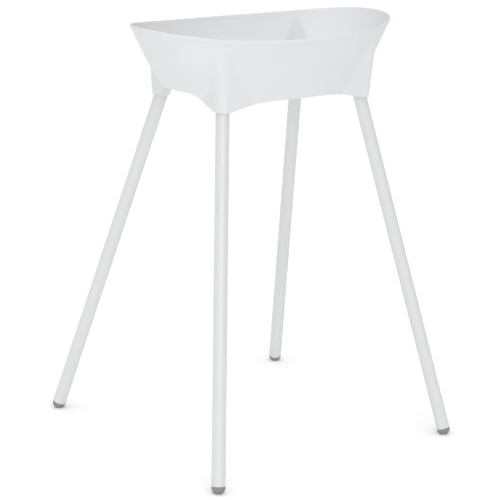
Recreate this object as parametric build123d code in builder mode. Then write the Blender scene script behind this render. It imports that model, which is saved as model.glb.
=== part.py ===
"""Stand for a baby bath: one moulded oval holder on four splayed tube legs.

Units are millimetres. +Z is up, +X runs along the holder's length, and the
origin is on the floor under the middle of the stand. The legs click into blind
sockets in the holder's corners, and a sprung button holds each one.
"""
from build123d import *
from math import copysign, cos, pi, sin
import os

os.makedirs("parts", exist_ok=True)

# ---- Driving dimensions ---------------------------------------------------------------

# Rim of the holder: an oval that is lowest at the middle of its long sides.
rim_half_length = 310.0
rim_half_width = 165.0
rim_side_height = 866.7      # top of the rim at the middle of the long sides
rim_end_rise = 18.3          # how much higher it is at the two ends
rim_rise_power = 2.66        # the rise stays small until it nears the ends
oval_power = 2.234           # 2 would be an ellipse, more is squarer
oval_points = 16

# Flared wall below the rim.
end_slope = 0.45             # inward run per unit of drop, at the rim's ends
end_slope_gain = 0.0012      # how much that slope grows with each mm of drop
side_slope = 0.19            # inward run per unit of drop, on the long sides
wall = 3.0
wall_levels = (700.0, 765.0, 830.0, 900.0)

# Rolled lip along the rim.
lip_height = 9.0
lip_overhang = 1.2           # how far the lip stands out of the wall's outer face
lip_inner_overhang = 0.3     # the same inside, where the step hardly shows
lip_round = 1.8

# Legs: straight tubes, splayed both ways.
leg_radius = 14.0
tube_wall = 1.2
mouth_x, mouth_y, mouth_z = 181.0, 105.8, 723.0    # leg axis where it enters the holder
foot_x, foot_y, foot_z = 305.4, 293.0, 12.0        # centre of the rounded foot

# Corner columns: a drafted box with rounded corners, which carries the sockets.
column_margin = 19.0         # from the leg axis to the outer faces, at the mouth
column_levels = (690.0, 880.0)
end_draft = 0.088            # outward run of the column's end faces per unit of height
side_draft = 0.052
corner_draft = 0.048         # growth of the corner radius per unit of height
crease_round = 22.0          # blend between a column and the flared wall

# Arched lower edges between the columns: heights, and distances from the middle.
long_arch_top, long_arch_flat, long_arch_reach = 741.0, 40.0, 174.0
short_arch_top, short_arch_corner, short_arch_reach = 754.5, 52.0, 102.0
short_arch_knee_y, short_arch_knee_z = 67.0, 738.0
short_arch_rounds = (25.0, 15.0)

# Construction sizes that leave no mark on the moulding.
form_margin = 25.0
form_top = 920.0
form_bottom = 700.0
rim_points = 4

# Sockets.
running_gap = 0.05
socket_wall = 3.5
socket_depth = 60.0
socket_cap = 3.0
rib_thickness = 2.5
rib_top = 772.0

# Leg fittings. Heights are measured up the leg from the mouth of its socket.
tube_top = 57.5
plug_head = 2.0
plug_stem = 11.0
plug_wall = 1.5
plug_chamfer = 0.6
press_gap = 0.05
foot_skirt = 1.5             # straight part of the foot below the tube's end
foot_stem = 24.0
button_height = 35.0
button_radius = 4.0
button_gap = 0.1
button_round = 1.2
button_reach = 19.0          # from the leg axis to the button's face
flange_radius = 5.2
flange_outer = 11.4
flange_inner = 10.2
spring_width = 8.0
spring_leaf = 0.8
spring_bend_height = 12.0
spring_arm_top = 42.0
spring_far_face = 12.1       # from the leg axis to the back of the arm opposite the button

corners = {
    "front_left": (-1, -1),
    "front_right": (1, -1),
    "back_left": (-1, 1),
    "back_right": (1, 1),
}

# ---- Derived values -------------------------------------------------------------------

rim_end_height = rim_side_height + rim_end_rise
tube_inner = leg_radius - tube_wall
bore_radius = leg_radius + running_gap
socket_radius = bore_radius + socket_wall
mouth = Vector(mouth_x, mouth_y, mouth_z)
foot = Vector(foot_x, foot_y, foot_z)
leg_length = (foot - mouth).length
tube_end = -(leg_length - foot_skirt)
spring_bend = (flange_inner + spring_far_face) / 2


def half_length(height):
    """Half length of the flared wall's outline at one height."""
    drop = rim_end_height - height
    return rim_half_length - drop * (end_slope + end_slope_gain * drop)


def half_width(height):
    """Half width of the flared wall's outline at one height."""
    return rim_half_width - side_slope * (rim_side_height - height)


def rim_height(x):
    """Height of the rim's top edge, which rises towards both ends."""
    return rim_side_height + rim_end_rise * (abs(x) / rim_half_length) ** rim_rise_power


def leg_plane(side_x, side_y):
    """Plane at a socket's mouth: z up the leg, x towards the middle of the stand."""
    top = Vector(side_x * mouth_x, side_y * mouth_y, mouth_z)
    bottom = Vector(side_x * foot_x, side_y * foot_y, foot_z)
    up_leg = (top - bottom).normalized()
    across = up_leg.cross(Vector(side_x * (foot_x - mouth_x), side_y * (foot_y - mouth_y), 0))
    return Plane(origin=top, x_dir=up_leg.cross(across), z_dir=up_leg)


def button_plane(base):
    """Plane on a snap button's axis, z towards the middle of the stand."""
    return Plane(base.from_local_coords((0, 0, button_height)), x_dir=base.z_dir, z_dir=base.x_dir)


def oval_outline(height, inset):
    """Points round the flared wall's outline at one height, drawn in by inset."""
    a = half_length(height) - inset
    b = half_width(height) - inset
    steps = [2 * pi * i / oval_points - pi / 2 for i in range(oval_points)]
    return [
        (
            a * copysign(abs(cos(t)) ** (2 / oval_power), cos(t)),
            b * copysign(abs(sin(t)) ** (2 / oval_power), sin(t)),
        )
        for t in steps
    ]


def flared_form(inset):
    """Solid inside the flared wall's outline, from below the arches to above the rim."""
    with BuildPart() as form:
        for height in wall_levels:
            with BuildSketch(Plane.XY.offset(height)):
                with BuildLine():
                    Spline(oval_outline(height, inset), periodic=True)
                make_face()
        loft()
        keep_quarter()
    return form.part


def column_form(inset):
    """Drafted box with rounded corners that joins the four columns."""
    with BuildPart() as form:
        for height in column_levels:
            rise = height - mouth_z
            size_x = 2 * (mouth_x + column_margin + end_draft * rise - inset)
            size_y = 2 * (mouth_y + column_margin + side_draft * rise - inset)
            with BuildSketch(Plane.XY.offset(height)):
                RectangleRounded(size_x, size_y, column_margin + corner_draft * rise - inset)
        loft()
        keep_quarter()
    return form.part


def keep_quarter():
    """Cut the part in progress down to its back right quarter."""
    split(bisect_by=Plane.YZ, keep=Keep.TOP)
    split(bisect_by=Plane.XZ, keep=Keep.BOTTOM)


def body_form(bottom, inset):
    """Quarter of the flared wall and a column as one solid, with their crease rounded."""
    with BuildPart() as form:
        add(flared_form(inset))
        add(column_form(inset))
        creases = form.edges(Select.NEW).filter_by(lambda edge: edge.bounding_box().max.Z > mouth_z)
        fillet(creases, crease_round + inset)
        split(bisect_by=Plane.XY.offset(bottom), keep=Keep.TOP)
    return form.part


def above_rim_form(drop):
    """Everything above the rim's top edge, lowered by drop."""
    stations = [rim_half_length * i / rim_points for i in range(-rim_points - 1, rim_points + 2)]
    with BuildPart() as form:
        with BuildSketch(Plane.XZ):
            with BuildLine():
                edge = Spline([(x, rim_height(x) - drop) for x in stations])
                Polyline(edge @ 1, (stations[-1], form_top), (stations[0], form_top), edge @ 0)
            make_face()
        extrude(amount=2 * rim_half_width, both=True)
    return form.part


# ---- Holder: one hollow moulding, open at the top and at the bottom --------------------

# The moulding is the same in all four quarters, so one is made and then mirrored.
column_wall_middle = body_form(mouth_z, wall / 2)

# Band of the rolled lip, a little thicker than the wall.
with BuildPart() as lip:
    add(flared_form(-lip_overhang))
    add(flared_form(wall + lip_inner_overhang), mode=Mode.SUBTRACT)
    add(above_rim_form(lip_height), mode=Mode.INTERSECT)
    add(above_rim_form(0.0), mode=Mode.SUBTRACT)
    fillet(lip.edges().filter_by(lambda edge: edge.length > rim_half_length), lip_round)

# Socket with its closing cap, and two ribs that tie it to the column's faces.
socket_plane = leg_plane(1, 1)
rib_reach = column_margin + socket_radius
with BuildPart() as socket:
    with BuildSketch(socket_plane.offset(-socket_radius)):
        Circle(socket_radius)
    extrude(amount=socket_radius + socket_depth + socket_cap)
    with BuildSketch(Plane.XY.offset(mouth_z)):
        with Locations((mouth_x + rib_reach / 2, mouth_y)):
            Rectangle(rib_reach, rib_thickness)
        with Locations((mouth_x, mouth_y + rib_reach / 2)):
            Rectangle(rib_thickness, rib_reach)
    extrude(amount=rib_top - mouth_z)
    add(column_wall_middle, mode=Mode.INTERSECT)

with BuildPart() as quarter:
    add(body_form(mouth_z, 0.0))
    add(body_form(mouth_z - form_margin, wall), mode=Mode.SUBTRACT)
    add(above_rim_form(lip_height / 2), mode=Mode.SUBTRACT)
    # Arch under the long side.
    with BuildSketch(Plane.XZ):
        with BuildLine():
            crown = Line((0, long_arch_top), (long_arch_flat, long_arch_top))
            flank = TangentArc(crown @ 1, (long_arch_reach, mouth_z), tangent=(1, 0))
            Polyline(flank @ 1, (long_arch_reach, form_bottom), (0, form_bottom), crown @ 0)
        make_face()
    extrude(amount=-rim_half_length, mode=Mode.SUBTRACT)
    # Arch under the end.
    with BuildSketch(Plane.YZ):
        with BuildLine():
            arch = FilletPolyline(
                (0, short_arch_top),
                (short_arch_corner, short_arch_top),
                (short_arch_knee_y, short_arch_knee_z),
                (short_arch_reach, mouth_z),
                radius=short_arch_rounds,
            )
            Polyline(arch @ 1, (short_arch_reach, form_bottom), (0, form_bottom), arch @ 0)
        make_face()
    extrude(amount=rim_half_length, mode=Mode.SUBTRACT)
    add(lip.part)
    add(socket.part)
    # Blind bore for the leg, and the hole its snap button comes out of.
    with BuildSketch(socket_plane.offset(-socket_radius)):
        Circle(bore_radius)
    extrude(amount=socket_radius + socket_depth, mode=Mode.SUBTRACT)
    with BuildSketch(button_plane(socket_plane)):
        Circle(button_radius + button_gap)
    extrude(amount=socket_radius + button_reach, mode=Mode.SUBTRACT)

with BuildPart() as holder:
    add(quarter.part)
    mirror(about=Plane.YZ)
    mirror(about=Plane.XZ)
holder.part.label = "holder"
export_step(holder.part, "parts/holder.step")

# ---- Legs: tube, foot, plug, snap button and its spring, in each of the four sockets ---

for corner, (side_x, side_y) in corners.items():
    base = leg_plane(side_x, side_y)
    leg_axis = Axis(base.origin, base.z_dir)
    # Plane through the leg's axis, x towards the middle of the stand and y up the leg.
    section = Plane(base.origin, x_dir=base.x_dir, z_dir=base.x_dir.cross(base.z_dir))
    press = button_plane(base)

    with BuildPart() as leg_tube:
        with BuildSketch(base.offset(tube_end)):
            Circle(leg_radius)
            Circle(tube_inner, mode=Mode.SUBTRACT)
        extrude(amount=tube_top - tube_end)
        with BuildSketch(press):
            Circle(button_radius + button_gap)
        extrude(amount=2 * leg_radius, mode=Mode.SUBTRACT)
    leg_tube.part.label = corner + "_leg_tube"
    export_step(leg_tube.part, "parts/" + leg_tube.part.label + ".step")

    # Rubber foot: a stem in the tube's end, and a round tip worn flat where it stands.
    with BuildPart() as foot_cap:
        with BuildSketch(section):
            with BuildLine():
                stem = Polyline(
                    (0, tube_end + foot_stem),
                    (tube_inner - press_gap, tube_end + foot_stem),
                    (tube_inner - press_gap, tube_end),
                    (leg_radius, tube_end),
                    (leg_radius, -leg_length),
                )
                tip = RadiusArc(stem @ 1, (0, -leg_length - leg_radius), leg_radius)
                Line(tip @ 1, stem @ 0)
            make_face()
        revolve(axis=leg_axis)
        split(bisect_by=Plane.XY, keep=Keep.TOP)
    foot_cap.part.label = corner + "_foot_cap"
    export_step(foot_cap.part, "parts/" + foot_cap.part.label + ".step")

    with BuildPart() as leg_plug:
        with BuildSketch(base.offset(tube_top)):
            Circle(leg_radius)
        extrude(amount=plug_head)
        chamfer(leg_plug.edges().sort_by(leg_axis)[-1], plug_chamfer)
        with BuildSketch(base.offset(tube_top)):
            Circle(tube_inner - press_gap)
            Circle(tube_inner - press_gap - plug_wall, mode=Mode.SUBTRACT)
        extrude(amount=-plug_stem)
    leg_plug.part.label = corner + "_leg_plug"
    export_step(leg_plug.part, "parts/" + leg_plug.part.label + ".step")

    with BuildPart() as snap_button:
        with BuildSketch(press.offset(flange_inner)):
            Circle(flange_radius)
        extrude(amount=flange_outer - flange_inner)
        with BuildSketch(press.offset(flange_outer)):
            Circle(button_radius)
        extrude(amount=button_reach - flange_outer)
        fillet(snap_button.edges().sort_by(Axis(base.origin, base.x_dir))[-1], button_round)
    snap_button.part.label = corner + "_snap_button"
    export_step(snap_button.part, "parts/" + snap_button.part.label + ".step")

    # Leaf spring bent into a U: one arm behind the button, one against the tube.
    with BuildPart() as button_spring:
        with BuildSketch(section):
            with BuildLine():
                near_face = Line((flange_inner, spring_arm_top), (flange_inner, spring_bend_height))
                outer_bend = RadiusArc(near_face @ 1, (-spring_far_face, spring_bend_height), spring_bend)
                far_arm = Polyline(
                    outer_bend @ 1,
                    (-spring_far_face, spring_arm_top),
                    (-spring_far_face + spring_leaf, spring_arm_top),
                    (-spring_far_face + spring_leaf, spring_bend_height),
                )
                inner_bend = RadiusArc(
                    far_arm @ 1, (flange_inner - spring_leaf, spring_bend_height), spring_leaf - spring_bend
                )
                Polyline(inner_bend @ 1, (flange_inner - spring_leaf, spring_arm_top), near_face @ 0)
            make_face()
        extrude(amount=spring_width / 2, both=True)
    button_spring.part.label = corner + "_button_spring"
    export_step(button_spring.part, "parts/" + button_spring.part.label + ".step")
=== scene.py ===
import math

import bpy
from mathutils import Matrix, Vector

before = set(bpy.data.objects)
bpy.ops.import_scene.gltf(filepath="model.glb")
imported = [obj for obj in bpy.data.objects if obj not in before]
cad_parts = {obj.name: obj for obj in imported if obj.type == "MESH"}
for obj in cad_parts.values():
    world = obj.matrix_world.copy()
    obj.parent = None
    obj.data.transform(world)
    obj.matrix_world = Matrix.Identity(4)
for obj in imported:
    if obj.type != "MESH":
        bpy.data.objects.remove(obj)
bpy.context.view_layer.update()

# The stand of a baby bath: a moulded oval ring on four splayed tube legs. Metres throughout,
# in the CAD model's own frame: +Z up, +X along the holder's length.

# ---- Holder ------------------------------------------------------------------------------
# One injection moulding in white polypropylene: a flared oval ring with a rolled lip, and a
# hollow column with a leg socket at each corner. It comes out of the tool in one piece.

HOLDER_LIGHT, HOLDER_DARK = "#DDDFE1", "#D9DBDD"


def linear(hex_colour):
    """An sRGB hex colour as linear RGBA, as a shader's socket takes it."""
    channels = [int(hex_colour[i:i + 2], 16) / 255 for i in (1, 3, 5)]
    return [c / 12.92 if c <= 0.04045 else ((c + 0.055) / 1.055) ** 2.4 for c in channels] + [1.0]


def per_metre(size_mm):
    """Scale of a noise whose blobs are about size_mm across."""
    return 1000 / size_mm


def add_node(tree, kind, settings=None, links=None):
    """Add a node: lower-case settings are its properties, the others its input values."""
    node = tree.nodes.new(kind)
    for name, value in (settings or {}).items():
        if isinstance(name, str) and name[0].islower():
            setattr(node, name, value)
        else:
            node.inputs[name].default_value = value
    for name, socket in (links or {}).items():
        tree.links.new(socket, node.inputs[name])
    return node


def new_material(name):
    """An empty node material."""
    material = bpy.data.materials.new(name)
    material.use_nodes = True
    material.node_tree.nodes.clear()
    return material


def finish_node(name, material):
    """Give a CAD node its finish."""
    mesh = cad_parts[name].data
    mesh.materials.clear()
    mesh.materials.append(material)


# Polypropylene from a spark-eroded tool: a satin face. The melt cools unevenly as it flows
# round the columns, so the gloss drifts and the big walls are very slightly wavy.
satin_polypropylene = new_material("satin_polypropylene")
tree = satin_polypropylene.node_tree
place = add_node(tree, "ShaderNodeTexCoord").outputs["Object"]
flow = add_node(tree, "ShaderNodeTexNoise", {"Scale": per_metre(90), "Detail": 3.0}, {"Vector": place})
cloud = add_node(tree, "ShaderNodeTexNoise", {"Scale": per_metre(14), "Detail": 2.0}, {"Vector": place})
# The tool's real grain is 0.15 mm across, too fine to show, so it is drawn at 0.9 mm.
grain = add_node(tree, "ShaderNodeTexNoise", {"Scale": per_metre(0.9), "Detail": 3.0}, {"Vector": place})
waves = add_node(tree, "ShaderNodeTexNoise", {"Scale": per_metre(60), "Detail": 1.0}, {"Vector": place})
colour = add_node(
    tree, "ShaderNodeMix", {"data_type": "RGBA", 6: linear(HOLDER_DARK), 7: linear(HOLDER_LIGHT)},
    {0: flow.outputs["Fac"]},
)
gloss = add_node(
    tree, "ShaderNodeMapRange",
    {"From Min": 0.3, "From Max": 0.7, "To Min": 0.36, "To Max": 0.46}, {"Value": cloud.outputs["Fac"]},
)
wavy = add_node(
    tree, "ShaderNodeBump", {"Strength": 0.15, "Distance": 0.0008}, {"Height": waves.outputs["Fac"]}
)
grainy = add_node(
    tree, "ShaderNodeBump", {"Strength": 0.25, "Distance": 0.00008},
    {"Height": grain.outputs["Fac"], "Normal": wavy.outputs["Normal"]},
)
shader = add_node(
    tree, "ShaderNodeBsdfPrincipled", {"IOR": 1.49},
    {
        "Base Color": colour.outputs[2],
        "Roughness": gloss.outputs["Result"],
        "Normal": grainy.outputs["Normal"],
    },
)
add_node(tree, "ShaderNodeOutputMaterial", links={"Surface": shader.outputs["BSDF"]})
finish_node("holder", satin_polypropylene)

# ---- Leg tubes ---------------------------------------------------------------------------
# Welded steel tube, 28 mm across with a 1.2 mm wall, cut square and powder coated white. The
# four are the same, and each clicks up into its socket.

corners = [f"{end}_{side}" for end in ("front", "back") for side in ("left", "right")]
COAT_LIGHT, COAT_DARK = "#D6D7D7", "#D4D5D5"

# Polyester powder sprayed on steel and baked: the melt levels to a soft orange peel, glossier
# than the moulding, so each tube carries a thin bright line along its length.
powder_coated_steel = new_material("powder_coated_steel")
tree = powder_coated_steel.node_tree
place = add_node(tree, "ShaderNodeTexCoord").outputs["Object"]
peel = add_node(tree, "ShaderNodeTexNoise", {"Scale": per_metre(2.2), "Detail": 1.5}, {"Vector": place})
cloud = add_node(tree, "ShaderNodeTexNoise", {"Scale": per_metre(120), "Detail": 2.0}, {"Vector": place})
colour = add_node(
    tree, "ShaderNodeMix", {"data_type": "RGBA", 6: linear(COAT_DARK), 7: linear(COAT_LIGHT)},
    {0: cloud.outputs["Fac"]},
)
gloss = add_node(
    tree, "ShaderNodeMapRange",
    {"From Min": 0.3, "From Max": 0.7, "To Min": 0.24, "To Max": 0.27}, {"Value": cloud.outputs["Fac"]},
)
dimpled = add_node(
    tree, "ShaderNodeBump", {"Strength": 0.2, "Distance": 0.00004}, {"Height": peel.outputs["Fac"]}
)
shader = add_node(
    tree, "ShaderNodeBsdfPrincipled", {"IOR": 1.52},
    {
        "Base Color": colour.outputs[2],
        "Roughness": gloss.outputs["Result"],
        "Normal": dimpled.outputs["Normal"],
    },
)
add_node(tree, "ShaderNodeOutputMaterial", links={"Surface": shader.outputs["BSDF"]})
for corner in corners:
    finish_node(f"{corner}_leg_tube", powder_coated_steel)

# ---- Feet --------------------------------------------------------------------------------
# Grey rubber caps with a stem pushed into each tube's lower end. The round tip stands on the
# floor on a small flat that has worn at an angle to the leg.

RUBBER_CLEAN, RUBBER_SCUFFED = "#868788", "#A0A09F"
SCUFF_HEIGHT = 0.006

# Moulded rubber: matt, with a fine mould grain. The tip picks up pale dust and scuffs.
moulded_rubber = new_material("moulded_rubber")
tree = moulded_rubber.node_tree
place = add_node(tree, "ShaderNodeTexCoord").outputs["Object"]
grain = add_node(tree, "ShaderNodeTexNoise", {"Scale": per_metre(0.7), "Detail": 3.0}, {"Vector": place})
scuff = add_node(
    tree, "ShaderNodeTexNoise",
    {"Scale": per_metre(3), "Detail": 4.0, "Roughness": 0.7}, {"Vector": place},
)
height = add_node(tree, "ShaderNodeSeparateXYZ", links={"Vector": place})
near_floor = add_node(
    tree, "ShaderNodeMapRange",
    {"From Min": 0.0, "From Max": SCUFF_HEIGHT, "To Min": 1.0, "To Max": 0.0},
    {"Value": height.outputs["Z"]},
)
worn = add_node(
    tree, "ShaderNodeMath", {"operation": "MULTIPLY"},
    {0: near_floor.outputs["Result"], 1: scuff.outputs["Fac"]},
)
colour = add_node(
    tree, "ShaderNodeMix", {"data_type": "RGBA", 6: linear(RUBBER_CLEAN), 7: linear(RUBBER_SCUFFED)},
    {0: worn.outputs["Value"]},
)
matt = add_node(
    tree, "ShaderNodeMapRange",
    {"From Min": 0.3, "From Max": 0.7, "To Min": 0.68, "To Max": 0.84}, {"Value": scuff.outputs["Fac"]},
)
grainy = add_node(
    tree, "ShaderNodeBump", {"Strength": 0.4, "Distance": 0.0001}, {"Height": grain.outputs["Fac"]}
)
shader = add_node(
    tree, "ShaderNodeBsdfPrincipled", {"IOR": 1.52},
    {
        "Base Color": colour.outputs[2],
        "Roughness": matt.outputs["Result"],
        "Normal": grainy.outputs["Normal"],
    },
)
add_node(tree, "ShaderNodeOutputMaterial", links={"Surface": shader.outputs["BSDF"]})
for corner in corners:
    finish_node(f"{corner}_foot_cap", moulded_rubber)

# ---- Plugs and snap buttons --------------------------------------------------------------
# Small acetal mouldings: a plug closes each tube's upper end, and a round button with a hidden
# flange comes out through the tube and the socket, on the side that faces into the ring.

ACETAL_LIGHT, ACETAL_DARK = "#DEDEDA", "#D3D3CF"

# Acetal is self-coloured and waxy. Flow round the small cores leaves it faintly mottled.
moulded_acetal = new_material("moulded_acetal")
tree = moulded_acetal.node_tree
place = add_node(tree, "ShaderNodeTexCoord").outputs["Object"]
mottle = add_node(tree, "ShaderNodeTexNoise", {"Scale": per_metre(4), "Detail": 2.0}, {"Vector": place})
colour = add_node(
    tree, "ShaderNodeMix", {"data_type": "RGBA", 6: linear(ACETAL_DARK), 7: linear(ACETAL_LIGHT)},
    {0: mottle.outputs["Fac"]},
)
gloss = add_node(
    tree, "ShaderNodeMapRange",
    {"From Min": 0.3, "From Max": 0.7, "To Min": 0.3, "To Max": 0.4}, {"Value": mottle.outputs["Fac"]},
)
waxy = add_node(
    tree, "ShaderNodeBump", {"Strength": 0.15, "Distance": 0.0001}, {"Height": mottle.outputs["Fac"]}
)
shader = add_node(
    tree, "ShaderNodeBsdfPrincipled", {"IOR": 1.48},
    {
        "Base Color": colour.outputs[2],
        "Roughness": gloss.outputs["Result"],
        "Normal": waxy.outputs["Normal"],
    },
)
add_node(tree, "ShaderNodeOutputMaterial", links={"Surface": shader.outputs["BSDF"]})
for corner in corners:
    finish_node(f"{corner}_leg_plug", moulded_acetal)
    finish_node(f"{corner}_snap_button", moulded_acetal)

# ---- Button springs ----------------------------------------------------------------------
# A strip of spring steel, 8 mm wide and 0.8 mm thick, bent into a U inside each tube. One arm
# pushes the button out and the other bears on the tube.

STEEL_LIGHT, STEEL_DARK = "#8F9194", "#77797D"

# Cold-rolled and hardened strip: grey, with fine lines left by the rolls along its length.
rolled_spring_steel = new_material("rolled_spring_steel")
tree = rolled_spring_steel.node_tree
place = add_node(tree, "ShaderNodeTexCoord").outputs["Object"]
along = add_node(tree, "ShaderNodeMapping", {"Scale": (1.0, 1.0, 0.05)}, {"Vector": place})
lines = add_node(
    tree, "ShaderNodeTexNoise", {"Scale": per_metre(1), "Detail": 3.0}, {"Vector": along.outputs["Vector"]}
)
colour = add_node(
    tree, "ShaderNodeMix", {"data_type": "RGBA", 6: linear(STEEL_DARK), 7: linear(STEEL_LIGHT)},
    {0: lines.outputs["Fac"]},
)
sheen = add_node(
    tree, "ShaderNodeMapRange",
    {"From Min": 0.3, "From Max": 0.7, "To Min": 0.28, "To Max": 0.42}, {"Value": lines.outputs["Fac"]},
)
rolled = add_node(
    tree, "ShaderNodeBump", {"Strength": 0.2, "Distance": 0.00005}, {"Height": lines.outputs["Fac"]}
)
shader = add_node(
    tree, "ShaderNodeBsdfPrincipled", {"Metallic": 1.0},
    {
        "Base Color": colour.outputs[2],
        "Roughness": sheen.outputs["Result"],
        "Normal": rolled.outputs["Normal"],
    },
)
add_node(tree, "ShaderNodeOutputMaterial", links={"Surface": shader.outputs["BSDF"]})
for corner in corners:
    finish_node(f"{corner}_button_spring", rolled_spring_steel)

# ---- Studio ------------------------------------------------------------------------------
# White paper swept far behind the stand, and even white light all round it: a broad overhead
# source that keeps the paper white, a soft key off the camera's left, and a tall strip light.

FLOOR_SIZE = 60.0
PAPER_WHITE = "#FAFAFA"

# Matt paper with a faint tooth.
white_paper = new_material("white_paper")
tree = white_paper.node_tree
place = add_node(tree, "ShaderNodeTexCoord").outputs["Object"]
tooth = add_node(tree, "ShaderNodeTexNoise", {"Scale": per_metre(1.5), "Detail": 2.0}, {"Vector": place})
toothed = add_node(
    tree, "ShaderNodeBump", {"Strength": 0.05, "Distance": 0.0002}, {"Height": tooth.outputs["Fac"]}
)
shader = add_node(
    tree, "ShaderNodeBsdfPrincipled",
    {"Base Color": linear(PAPER_WHITE), "Roughness": 0.9, "Specular IOR Level": 0.2},
    {"Normal": toothed.outputs["Normal"]},
)
add_node(tree, "ShaderNodeOutputMaterial", links={"Surface": shader.outputs["BSDF"]})

bpy.ops.mesh.primitive_plane_add(size=FLOOR_SIZE)
floor = bpy.context.object
floor.name = "studio_floor"
floor.data.materials.append(white_paper)

# The studio's walls are darker on the side away from the key, which draws the tubes' edges.
WALL_LIGHT, WALL_DARK = 0.62, 0.12
DARK_SIDE = (0.99, 0.12, 0.0)
WALL_TOP = 0.5

world = bpy.data.worlds.new("studio_world")
world.use_nodes = True
tree = world.node_tree
tree.nodes.clear()
place = add_node(tree, "ShaderNodeTexCoord").outputs["Generated"]
side = add_node(tree, "ShaderNodeVectorMath", {"operation": "DOT_PRODUCT", 1: DARK_SIDE}, {0: place})
shade = add_node(
    tree, "ShaderNodeMapRange",
    {"From Min": 0.0, "From Max": 0.8, "To Min": 0.0, "To Max": 1.0}, {"Value": side.outputs["Value"]},
)
height = add_node(tree, "ShaderNodeSeparateXYZ", links={"Vector": place})
low_down = add_node(
    tree, "ShaderNodeMapRange",
    {"From Min": 0.1, "From Max": WALL_TOP, "To Min": 1.0, "To Max": 0.0}, {"Value": height.outputs["Z"]},
)
on_wall = add_node(
    tree, "ShaderNodeMath", {"operation": "MULTIPLY"},
    {0: shade.outputs["Result"], 1: low_down.outputs["Result"]},
)
strength = add_node(
    tree, "ShaderNodeMapRange", {"To Min": WALL_LIGHT, "To Max": WALL_DARK},
    {"Value": on_wall.outputs["Value"]},
)
glow = add_node(
    tree, "ShaderNodeBackground", {"Color": linear("#FFFFFF")},
    {"Strength": strength.outputs["Result"]},
)
add_node(tree, "ShaderNodeOutputWorld", links={"Surface": glow.outputs["Background"]})
bpy.context.scene.world = world


def aim(name, light, place, target):
    """Hang a light at place, facing target."""
    lamp = bpy.data.objects.new(name, light)
    lamp.location = place
    lamp.rotation_euler = (Vector(target) - Vector(place)).to_track_quat("-Z", "Y").to_euler()
    bpy.context.scene.collection.objects.link(lamp)


def broad_light(name, place, strength, spread):
    """A far source that lights everything evenly, with soft shadows."""
    light = bpy.data.lights.new(name, "SUN")
    light.energy = strength
    light.angle = math.radians(spread)
    aim(name, light, place, (0, 0, 0))


# Strengths are in watts per square metre, and spreads in degrees.
OVERHEAD_PLACE, OVERHEAD_STRENGTH, OVERHEAD_SPREAD = (-0.2, -0.2, 3.0), 1.4, 90
KEY_PLACE, KEY_STRENGTH, KEY_SPREAD = (-1.5, -3.0, 1.5), 0.48, 30
broad_light("overhead", OVERHEAD_PLACE, OVERHEAD_STRENGTH, OVERHEAD_SPREAD)
broad_light("key", KEY_PLACE, KEY_STRENGTH, KEY_SPREAD)

# The strip is what puts the bright line on the tubes.
STRIP_WIDTH, STRIP_HEIGHT, STRIP_WATTS = 0.12, 2.4, 7.0
STRIP_PLACE, STRIP_TARGET = (-2.5, -2.0, 1.1), (0, 0, 0.5)
strip = bpy.data.lights.new("strip", "AREA")
strip.shape = "RECTANGLE"
strip.size, strip.size_y = STRIP_WIDTH, STRIP_HEIGHT
strip.energy = STRIP_WATTS
aim("strip", strip, STRIP_PLACE, STRIP_TARGET)

bpy.context.scene.view_settings.view_transform = "Standard"

# The camera stands off the front left corner, a little above the rim.
CAMERA_PLACE = (-2.4515, -3.0754, 1.4645)
CAMERA_HEADING, CAMERA_PITCH, CAMERA_ROLL = 38.388, 15.334, 2.045
LENS_MM, SENSOR_MM = 137.25, 36.0

camera_data = bpy.data.cameras.new("camera")
camera_data.lens = LENS_MM
camera_data.sensor_width = SENSOR_MM
camera = bpy.data.objects.new("camera", camera_data)
heading, pitch, roll = (math.radians(a) for a in (CAMERA_HEADING, CAMERA_PITCH, CAMERA_ROLL))
camera.matrix_world = (
    Matrix.Translation(CAMERA_PLACE)
    @ Matrix.Rotation(-heading, 4, "Z")
    @ Matrix.Rotation(math.pi / 2 - pitch, 4, "X")
    @ Matrix.Rotation(roll, 4, "Z")
)
bpy.context.scene.collection.objects.link(camera)
bpy.context.scene.camera = camera
